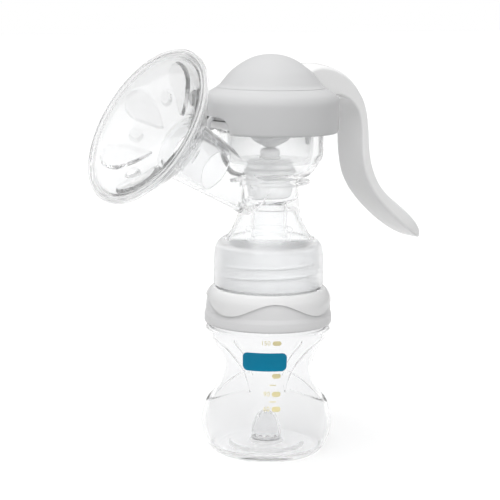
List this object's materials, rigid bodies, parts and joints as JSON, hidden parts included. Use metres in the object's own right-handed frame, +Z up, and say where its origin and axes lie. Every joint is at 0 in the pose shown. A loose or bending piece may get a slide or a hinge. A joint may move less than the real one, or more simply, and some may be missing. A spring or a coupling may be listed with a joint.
{
  "type": "manual breast pump",
  "caption": "Hand-squeezed breast pump: silicone-cushioned shield on a clear pump body with a domed swivel cap and lever handle, screwed on a waisted feeding bottle.",
  "frame": {"origin": "where the axis of the bottle and pump meets the surface the bottle stands on", "axes": "+Z up along the pump's axis; the breast shield points up towards -X, the handle hangs on the +X side, and Y runs across the symmetry plane"},
  "size_m": [0.1897, 0.0802, 0.2012],
  "materials": {
    "clear_plastic": "clear, polished",
    "frosted_plastic": "translucent, satin",
    "white_plastic": "opaque, glossy",
    "grey_plastic": "opaque, satin, light grey",
    "silicone": "translucent, soft matte",
    "steel": "satin"
  },
  "bodies": {
    "bottle": {"bottle": "clear_plastic", "neck_seal": "silicone", "bottle_adapter": "frosted_plastic"},
    "collar": {"collar_ring": "grey_plastic", "collar_cover": "white_plastic"},
    "thread_seal": {"body_seal": "silicone"},
    "pump_body": {"pump_body": "clear_plastic", "duckbill_valve": "silicone", "swivel_ring": "white_plastic", "diaphragm": "silicone"},
    "shield": {"breast_shield": "clear_plastic"},
    "cushion": {"massage_cushion": "silicone"},
    "stem": {"diaphragm_stem": "white_plastic", "suction_piston": "silicone", "pull_rod": "grey_plastic"},
    "cap": {"cap_ring": "grey_plastic", "dome_cover": "grey_plastic", "cap_base_plate": "grey_plastic", "pivot_pin": "steel"},
    "handle": {"handle": "white_plastic"}
  },
  "joints": [
    {"name": "collar_turn", "type": "hinge", "parent": "bottle", "child": "collar", "pos_m": [0, 0, 0.073], "axis": [0, 0, 1], "range_deg": [0, 360]},
    {"name": "body_lift", "type": "slide", "parent": "bottle", "child": "thread_seal", "axis": [0, 0, 1], "range_m": [0, 0.0051]},
    {"name": "body_turn", "type": "hinge", "parent": "thread_seal", "child": "pump_body", "pos_m": [0, 0, 0.095], "axis": [0, 0, 1], "range_deg": [0, 360]},
    {"name": "shield_pull", "type": "slide", "parent": "pump_body", "child": "shield", "axis": [-0.866, 0, 0.5], "range_m": [0, 0.06]},
    {"name": "cushion_pull", "type": "slide", "parent": "shield", "child": "cushion", "axis": [-0.866, 0, 0.5], "range_m": [0, 0.035]},
    {"name": "cap_swivel", "type": "hinge", "parent": "pump_body", "child": "cap", "pos_m": [0, 0, 0.165], "axis": [0, 0, 1], "range_deg": [-135, 135]},
    {"name": "handle_squeeze", "type": "hinge", "parent": "cap", "child": "handle", "pos_m": [0.022, 0, 0.174], "axis": [0, 1, 0], "range_deg": [0, 18], "stiffness_Nm_per_rad": 4},
    {"name": "stem_lift", "type": "slide", "parent": "pump_body", "child": "stem", "axis": [0, 0, 1], "range_m": [0, 0.0075], "deforming": ["diaphragm"]}
  ],
  "couplings": [
    {"joint": "stem_lift", "follows": "handle_squeeze", "m_per_rad": 0.0226},
    {"joint": "body_lift", "follows": "body_turn", "m_per_rad": 0.000796}
  ]
}
